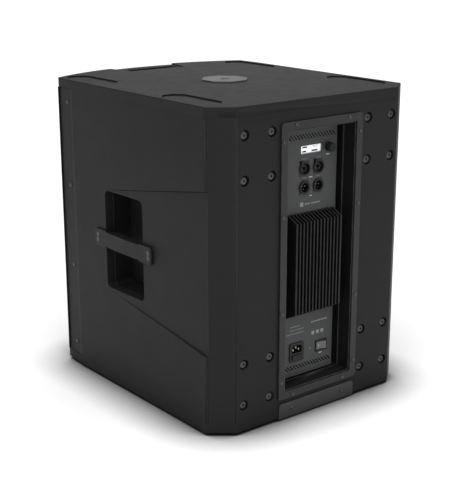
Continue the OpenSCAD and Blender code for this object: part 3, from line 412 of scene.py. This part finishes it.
# ---------------------------------------------------------------- amplifier and fittings
soften("amp_frame", 0.9, 3)
soften("amp_tub", 0.5, 2)
soften("control_panel", 0.3, 2)
soften("heat_sink", 0.45, 2)
soften("kick_plate", 0.8, 3)
soften("pole_flange", 0.5, 2)
soften("handle_cup_left", 1.6, 3)
soften("handle_cup_right", 1.6, 3)
soften("feet", 1.0, 3)
for n in ("display_bezel", "combo_socket_a", "combo_socket_b", "xlr_output_a", "xlr_output_b", "mains_inlet",
          "rocker_frame", "fuse_drawer", "power_rocker", "combo_latch_a", "combo_latch_b", "encoder_knob"):
    soften(n, 0.3, 2)


def bar(node):
    bm = clean_copy(node)
    lo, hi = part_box(node)
    zm = (lo.z + hi.z) / 2
    half = (hi.z - lo.z) / 2 - 2 * MM
    grip = lambda e: e.is_convex and both(e, lambda c: abs(abs(c.z - zm) - half) < NEAR)
    round_edges(bm, grip, 4.5, 4, 30.0)
    rest = lambda e: e.is_convex
    round_edges(bm, rest, 0.6, 2, 30.0)
    add_object(node + "_made", bm, SLOT[node], "cabinet", node, 60.0)


bar("handle_bar_left")
bar("handle_bar_right")

# ---------------------------------------------------------------- screws


def islands(node):
    """Lowest and highest corner of each separate solid in a node."""
    bm = bmesh.new()
    bm.from_mesh(NODES[node].data)
    bmesh.ops.remove_doubles(bm, verts=bm.verts, dist=2e-6)
    seen, out = set(), []
    for v in bm.verts:
        if v in seen:
            continue
        stack, pts = [v], []
        seen.add(v)
        while stack:
            a = stack.pop()
            pts.append(a.co.copy())
            for e in a.link_edges:
                b = e.other_vert(a)
                if b not in seen:
                    seen.add(b)
                    stack.append(b)
        lo = Vector([min(p[i] for p in pts) for i in range(3)])
        hi = Vector([max(p[i] for p in pts) for i in range(3)])
        out.append((lo, hi))
    bm.free()
    return out


N = 48  # points round each screw head


def recess_radius(kind, angle, r):
    if kind == "cross":
        a = (angle + math.pi / 4) % (math.pi / 2) - math.pi / 4
        arm = 0.30 * r
        return min(r, max(arm / max(abs(math.sin(a)), 1e-6), 0.0)) if abs(a) > 0.30 else r
    if kind == "hex":
        a = (angle + math.pi / 6) % (math.pi / 3) - math.pi / 6
        return r * math.cos(math.pi / 6) / math.cos(a)
    lobes = 0.5 + 0.5 * math.cos(6 * angle)
    return r * (0.76 + 0.24 * lobes)


def screw_mesh(bm, place, profile, kind, r_rec, depth, turn=0.0):
    """profile: (radius, height) from the head's rim down to the tip. place maps +Z out of the head."""
    def ring(fn, h):
        vs = []
        for i in range(N):
            a = 2 * math.pi * i / N
            r = fn(a)
            vs.append(bm.verts.new(place @ Vector((r * math.cos(a + turn), r * math.sin(a + turn), h))))
        return vs

    top = profile[0][1]
    rings = [ring(lambda a: 0.92 * recess_radius(kind, a, r_rec), top - depth),
             ring(lambda a: recess_radius(kind, a, r_rec), top - 0.06 * depth),
             ring(lambda a: 1.06 * recess_radius(kind, a, r_rec), top)]
    for r, h in profile:
        rings.append(ring(lambda a, r=r: r, h))
    for a, b in zip(rings, rings[1:]):
        for i in range(N):
            j = (i + 1) % N
            bm.faces.new((a[i], b[i], b[j], a[j]))
    bm.faces.new(list(reversed(rings[0])))
    bm.faces.new(rings[-1])


def frame_of(axis, origin):
    return Matrix.Translation(origin) @ axis.to_track_quat("Z", "Y").to_matrix().to_4x4()


def screw_set(node, axis_of, shape, kind, r_rec, depth, slot=None):
    bm = bmesh.new()
    for k, (lo, hi) in enumerate(islands(node)):
        axis, top, length, r_head = axis_of(lo, hi)
        screw_mesh(bm, frame_of(axis, top), shape(length, r_head), kind, r_rec, depth, turn=0.7 * k)
    bmesh.ops.recalc_face_normals(bm, faces=bm.faces)
    add_object(node + "_made", bm, slot or SLOT[node], "cabinet", node, 45.0)


def along_y(lo, hi):
    c = (lo + hi) / 2
    return Vector((0, 1, 0)), Vector((c.x, hi.y, c.z)), hi.y - lo.y, (hi.x - lo.x) / 2


def pan(r_shank, drop):
    def shape(length, r):
        return [(0.62 * r, 0.0), (0.80 * r, -0.10 * drop), (0.93 * r, -0.32 * drop), (r, -0.62 * drop),
                (r, -drop), (r_shank, -drop), (r_shank, -length + 0.6 * r_shank), (0.45 * r_shank, -length)]
    return shape


screw_set("castor_screws", along_y, pan(3.9 * MM, 4.3 * MM), "torx", 3.2 * MM, 2.4 * MM)
screw_set("frame_screws", along_y, pan(1.75 * MM, 2.0 * MM), "cross", 1.9 * MM, 1.1 * MM)
screw_set("socket_screws", along_y, pan(1.1 * MM, 2.0 * MM), "cross", 1.2 * MM, 0.9 * MM)


def sideways_screw(lo, hi):
    c = (lo + hi) / 2
    s = 1 if c.x > 0 else -1
    return Vector((s, 0, 0)), Vector((hi.x if s > 0 else lo.x, c.y, c.z)), hi.x - lo.x, (hi.z - lo.z) / 2


screw_set("grille_screws", sideways_screw, pan(1.5 * MM, 1.9 * MM), "cross", 1.8 * MM, 1.0 * MM)


def any_way(lo, hi):
    d = hi - lo
    c = (lo + hi) / 2
    if d.x > d.z:
        return sideways_screw(lo, hi)
    up = c.z > 0.3
    return (Vector((0, 0, 1 if up else -1)), Vector((c.x, c.y, hi.z if up else lo.z)), d.z, d.x / 2)


def countersunk(length, r):
    shank = 1.95 * MM
    return [(0.92 * r, 0.0), (r, -0.12 * MM), (shank, -2.2 * MM), (shank, -length + 2 * MM), (0.3 * MM, -length)]


screw_set("wood_screws", any_way, countersunk, "cross", 2.0 * MM, 1.2 * MM)

# ---------------------------------------------------------------- grille


def perforated_grille():
    lo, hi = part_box("grille")
    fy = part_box("top_panel")[0].y
    r_out = BOW_R - 1 * MM
    cy = fy + BOW_R
    half = math.asin((hi.x - 0.5 * MM) / r_out) * r_out
    pitch, hole = 8.6 * MM, 3.15 * MM
    rowh = pitch * math.sqrt(3) / 2
    margin = 7 * MM
    cols = int((2 * half - 2 * margin) / pitch)
    rows = int((hi.z - lo.z - 2 * margin) / rowh)
    bm = bmesh.new()
    s = pitch / math.sqrt(3)
    cache = {}

    def put(u, v):
        key = (round(u * 1e6 / 40), round(v * 1e6 / 40))
        if key not in cache:
            a = u / r_out
            cache[key] = bm.verts.new((r_out * math.sin(a), cy - r_out * math.cos(a), v))
        return cache[key]

    u0 = -cols * pitch / 2
    v0 = (lo.z + hi.z) / 2 - rows * rowh / 2
    for j in range(rows):
        for i in range(cols - (j % 2)):
            cu = u0 + (i + 0.5 + 0.5 * (j % 2)) * pitch
            cv = v0 + (j + 0.5) * rowh
            outer = [put(cu + s * math.sin(math.pi * k / 3), cv + s * math.cos(math.pi * k / 3)) for k in range(6)]
            inner = []
            for k in range(12):
                a = math.pi * k / 6
                inner.append(put(cu + hole * math.sin(a), cv + hole * math.cos(a)))
            for k in range(6):
                m = inner[(2 * k + 1) % 12]
                bm.faces.new((outer[k], outer[(k + 1) % 6], inner[(2 * k + 2) % 12], m))
                bm.faces.new((outer[k], m, inner[2 * k]))
    # plain border out to the grille's edge, stitched to the zigzag of the cells
    rim = [e for e in bm.edges if len(e.link_faces) == 1]
    u_edge = half
    out_edges = []
    for e in rim:
        m = (e.verts[0].co + e.verts[1].co) / 2
        um = math.atan2(m.x, cy - m.y) * r_out
        left, right = um < u0 + 1.2 * s, um > -u0 - 1.2 * s
        low, high = m.z < v0 + 0.6 * s, m.z > v0 + rows * rowh - 0.6 * s
        if left or right or low or high:
            out_edges.append((e, left, right, low, high))
    made = {}

    def pushed(v):
        if v in made:
            return made[v]
        u = math.atan2(v.co.x, cy - v.co.y) * r_out
        z = v.co.z
        if u < u0 + 1.1 * s:
            u = -u_edge
        elif u > -u0 - 1.1 * s:
            u = u_edge
        if z < v0 + 0.45 * s:
            z = lo.z
        elif z > v0 + rows * rowh - 0.45 * s:
            z = hi.z
        a = u / r_out
        made[v] = bm.verts.new((r_out * math.sin(a), cy - r_out * math.cos(a), z))
        return made[v]

    for e, left, right, low, high in out_edges:
        f = e.link_faces[0]
        if any(len(x.link_faces) == 1 and x is not e for x in f.edges) and not (left or right or low or high):
            continue
        a, b = e.verts
        cu = [math.atan2(v.co.x, cy - v.co.y) * r_out for v in (a, b)]
        if (all(abs(c) < -u0 - 1.2 * s for c in cu)
                and all(v0 + 0.7 * s < v.co.z < v0 + rows * rowh - 0.7 * s for v in (a, b))):
            continue
        inner_hole = (a.co - b.co).length < 0.55 * s * 1.2
        if inner_hole:
            continue
        pa, pb = pushed(a), pushed(b)
        if pa is pb:
            continue
        try:
            bm.faces.new((a, b, pb, pa))
        except ValueError:
            pass
    bmesh.ops.remove_doubles(bm, verts=bm.verts, dist=1e-6)
    bmesh.ops.recalc_face_normals(bm, faces=bm.faces)
    bmesh.ops.solidify(bm, geom=bm.faces[:], thickness=1.3 * MM)
    return bm


add_object("grille_sheet", perforated_grille(), "grille_steel", "cabinet", None, 45.0)


lo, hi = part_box("grille")


def flange_strip():
    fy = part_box("top_panel")[0].y
    y_corner = fy + BOW
    y_band = y_corner + 56 * MM
    bm = bmesh.new()
    for sx in (-1, 1):
        x_front, x_back = HW - 4.5 * MM, HW - 0.86 * MM
        pts = [(x_front - 5.5 * MM, y_corner - 3.6 * MM), (x_front - 2.5 * MM, y_corner - 2.4 * MM),
               (x_front - 0.9 * MM, y_corner - 1.2 * MM), (x_front - 0.1 * MM, y_corner + 0.6 * MM),
               (x_back, y_band - 5 * MM)]
        inner = [(x_front - 6.0 * MM, y_corner - 2.3 * MM), (x_front - 3.2 * MM, y_corner - 1.2 * MM),
                 (x_front - 1.9 * MM, y_corner), (x_front - 1.4 * MM, y_corner + 1.4 * MM),
                 (x_back - 1.3 * MM, y_band - 5 * MM)]
        steps = [lo.z, hi.z]
        rows = []
        for z in steps:
            rows.append([bm.verts.new((sx * p[0], p[1], z)) for p in pts + inner[::-1]])
        n = len(rows[0])
        for i in range(n):
            j = (i + 1) % n
            bm.faces.new((rows[0][i], rows[0][j], rows[1][j], rows[1][i]))
        bm.faces.new(rows[0])
        bm.faces.new(rows[1][::-1])
    bmesh.ops.recalc_face_normals(bm, faces=bm.faces)
    round_edges(bm, lambda e: abs(e.verts[0].co.z - e.verts[1].co.z) < NEAR, 0.4, 2, 60.0)
    return bm


add_object("grille_flanges", flange_strip(), "grille_steel", "cabinet", "grille", 40.0)

# ---------------------------------------------------------------- printed marks
p_lo, p_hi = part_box("control_panel")
Y_PANEL = p_hi.y
s_lo, s_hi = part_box("display_screen")
k_lo, k_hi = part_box("encoder_knob")
sink_lo, sink_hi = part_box("heat_sink")


def plates(name, rects, y, slot, body="cabinet", proud=0.12, r=0.35):
    """Thin raised plates on a wall that faces +Y: each is (x, z, width, height) in millimetres."""
    bm = bmesh.new()
    for x, z, w, h in rects:
        rr = min(r, 0.45 * min(w, h))
        pts = []
        for cx, cz, a0 in ((w / 2 - rr, h / 2 - rr, 0), (-w / 2 + rr, h / 2 - rr, 90), (-w / 2 + rr, -h / 2 + rr, 180),
                           (w / 2 - rr, -h / 2 + rr, 270)):
            for k in range(4):
                a = math.radians(a0 + 30 * k)
                pts.append((x + cx + rr * math.cos(a), z + cz + rr * math.sin(a)))
        back = [bm.verts.new((px * MM, y - 0.05 * MM, pz * MM)) for px, pz in pts]
        front = [bm.verts.new((px * MM, y + proud * MM, pz * MM)) for px, pz in pts]
        n = len(pts)
        for i in range(n):
            j = (i + 1) % n
            bm.faces.new((back[i], back[j], front[j], front[i]))
        bm.faces.new(front)
        bm.faces.new(back[::-1])
    bmesh.ops.recalc_face_normals(bm, faces=bm.faces)
    return add_object(name, bm, slot, body, None, 40.0)


zs = (s_lo.z + s_hi.z) / 2 / MM
plates("screen_bars", [(13.5, zs + 3.6, 12, 3.0), (14.5, zs - 4.1, 10, 3.0), (-11, zs - 4.1, 15, 3.0),
                       (-9, zs + 4.6, 5, 0.7), (-16, zs + 4.6, 5, 0.7), (-12.5, zs + 2.4, 12, 0.6)],
       s_hi.y, "screen_ink", proud=0.1)
zk = (k_lo.z + k_hi.z) / 2 / MM
zc = (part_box("combo_socket_a")[0].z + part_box("combo_socket_a")[1].z) / 2 / MM
zo = (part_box("xlr_output_a")[0].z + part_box("xlr_output_a")[1].z) / 2 / MM
zi = (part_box("mains_inlet")[0].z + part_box("mains_inlet")[1].z) / 2 / MM
r_lo, r_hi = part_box("rocker_frame")
zr, xr = (r_lo.z + r_hi.z) / 2 / MM, (r_lo.x + r_hi.x) / 2 / MM
xk = (k_lo.x + k_hi.x) / 2 / MM
mid = (zc + zo) / 2
pale = [(xk, zk - 14.5, 9, 1.9), (1.4, mid + 0.3, 8, 2.0), (0.5, zo - 17.4, 5.5, 2.0), (xr + 1, zr - 15.5, 8.5, 2.0)]
plates("panel_marks", pale, Y_PANEL, "label_ink")
zb = zo - 32
faint = [(22.5, zb, 8, 8)]
x = 14.0
for w in (3.4, 2.6, 3.8, 0, 3.2, 3.8, 3.0, 3.6, 2.8):
    if w:
        faint.append((x - w / 2, zb - 0.3, w, 2.6))
    x -= (w or 2.0) + 1.1
for side in (-1, 1):
    for z, n in ((zc + 18.3, 5), (zo + 18.3, 4)):
        for i in range(n):
            faint.append((side * 17.3 - (i - (n - 1) / 2) * 2.4, z, 1.7, 1.1))
plates("panel_faint_marks", faint, Y_PANEL, "ink_faint")
low = []
for k in range(3):
    low.append((34 - 5 * (k % 2), zi + 41 + 7 * k - 3, 44 - 9 * k, 0.9))
x = -8.0
z_low = sink_lo.z / MM - 21
for w in (4.6, 5.2, 4.2, 5.4, 4.8, 4.0, 5.0):
    low.append((x - w / 2, z_low, w, 2.7))
    x -= w + 1.4
for k in range(3):
    low.append((-13 - 12 * k, zi + 29, 7, 7))
plates("panel_low_marks", low, Y_PANEL, "ink_faint")

plates("rocker_mark", [(xr + 6.4, zr, 1.5, 5.2)], Y_PANEL + 1.25 * MM, "label_ink", body="rocker_body",
       proud=0.15)

# ---------------------------------------------------------------- foam strip in the trench behind the front edge


def trench_liner():
    y0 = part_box("top_panel")[0].y + 30 * MM
    x, ya, yb, za, zb = 67.7 * MM, y0 + 0.3 * MM, y0 + 21.7 * MM, Z1 - 9.9 * MM, Z1 - 3.4 * MM
    t = 1.2 * MM
    bm = bmesh.new()
    loops = ((x, ya, yb, zb), (x, ya, yb, za), (x - t, ya + t, yb - t, za + t), (x - t, ya + t, yb - t, zb))
    rings = [[bm.verts.new(c) for c in ((-a, b, z), (a, b, z), (a, c2, z), (-a, c2, z))] for a, b, c2, z in loops]
    order = [rings[1], rings[0], rings[3], rings[2]]
    bm.faces.new(order[0][::-1])
    for p, q in zip(order, order[1:]):
        for i in range(4):
            j = (i + 1) % 4
            bm.faces.new((p[i], p[j], q[j], q[i]))
    bm.faces.new(order[3])
    bmesh.ops.recalc_face_normals(bm, faces=bm.faces)
    round_edges(bm, convex, 0.4, 2)
    return bm


add_object("trench_liner", trench_liner(), "foam", "cabinet", None, 45.0)

# ---------------------------------------------------------------- floor, lights
stage_mat = bpy.data.materials.new("floor")
stage_mat.use_nodes = True
fb = stage_mat.node_tree.nodes["Principled BSDF"]
fb.inputs["Base Color"].default_value = (0.92, 0.92, 0.92, 1)
fb.inputs["Roughness"].default_value = 0.9
fb.inputs["Specular IOR Level"].default_value = 0.1
fn = stage_mat.node_tree
# painted contact shadow: the floor colour is darkened towards black by ambient occlusion near the cabinet
contact_shadow_ao = fn.nodes.new("ShaderNodeAmbientOcclusion")
contact_shadow_ao.samples = 12
contact_shadow_ao.inputs["Distance"].default_value = 0.10
shade = ramp_value(fn, contact_shadow_ao.outputs["AO"], -0.7, 1.0)
fn.links.new(mix_colour(fn, shade, (0.05, 0.05, 0.05), (0.95, 0.95, 0.95)), fb.inputs["Base Color"])
mesh = bpy.data.meshes.new("floor")
mesh.from_pydata([(-14, -14, 0), (14, -14, 0), (14, 14, 0), (-14, 14, 0)], [], [(0, 1, 2, 3)])
floor = bpy.data.objects.new("floor", mesh)
mesh.materials.append(stage_mat)
bpy.context.scene.collection.objects.link(floor)

world = bpy.data.worlds.new("studio")
bpy.context.scene.world = world
world.use_nodes = True
wn = world.node_tree
bg = wn.nodes["Background"]
bg.inputs["Color"].default_value = (1, 1, 1, 1)
bg.inputs["Strength"].default_value = 0.24
seen_bg = wn.nodes.new("ShaderNodeBackground")
seen_bg.inputs["Color"].default_value = (1, 1, 1, 1)
seen_bg.inputs["Strength"].default_value = 1.05
rays = wn.nodes.new("ShaderNodeLightPath")
pick_bg = wn.nodes.new("ShaderNodeMixShader")
wn.links.new(rays.outputs["Is Camera Ray"], pick_bg.inputs["Fac"])
wn.links.new(bg.outputs["Background"], pick_bg.inputs[1])
wn.links.new(seen_bg.outputs["Background"], pick_bg.inputs[2])
wn.links.new(pick_bg.outputs["Shader"], wn.nodes["World Output"].inputs["Surface"])


def softbox(name, at, size, power, aim=(0, 0, 0.3)):
    data = bpy.data.lights.new(name, "AREA")
    data.shape, data.size, data.size_y, data.energy = "RECTANGLE", size[0], size[1], power
    obj = bpy.data.objects.new(name, data)
    obj.location = at
    obj.rotation_euler = (Vector(at) - Vector(aim)).to_track_quat("Z", "Y").to_euler()
    obj.visible_camera = False
    bpy.context.scene.collection.objects.link(obj)


sun = bpy.data.lights.new("sky_panel", "SUN")
sun.energy, sun.angle = 3.1, math.radians(80)
sky = bpy.data.objects.new("sky_panel", sun)
sky.rotation_euler = (math.radians(-8), math.radians(10), 0)
bpy.context.scene.collection.objects.link(sky)
softbox("key_box", (2.3, 2.0, 1.9), (1.3, 1.5), 13, (0.2, 0.2, 0.4))
softbox("rear_box", (-0.9, 1.9, 1.9), (1.2, 0.9), 5, (0, 0.3, 0.6))
softbox("back_box", (-2.4, -3.0, 1.9), (2.2, 1.1), 9, (0, 0, 0.6))

view = bpy.context.scene.view_settings
view.view_transform = "Standard"
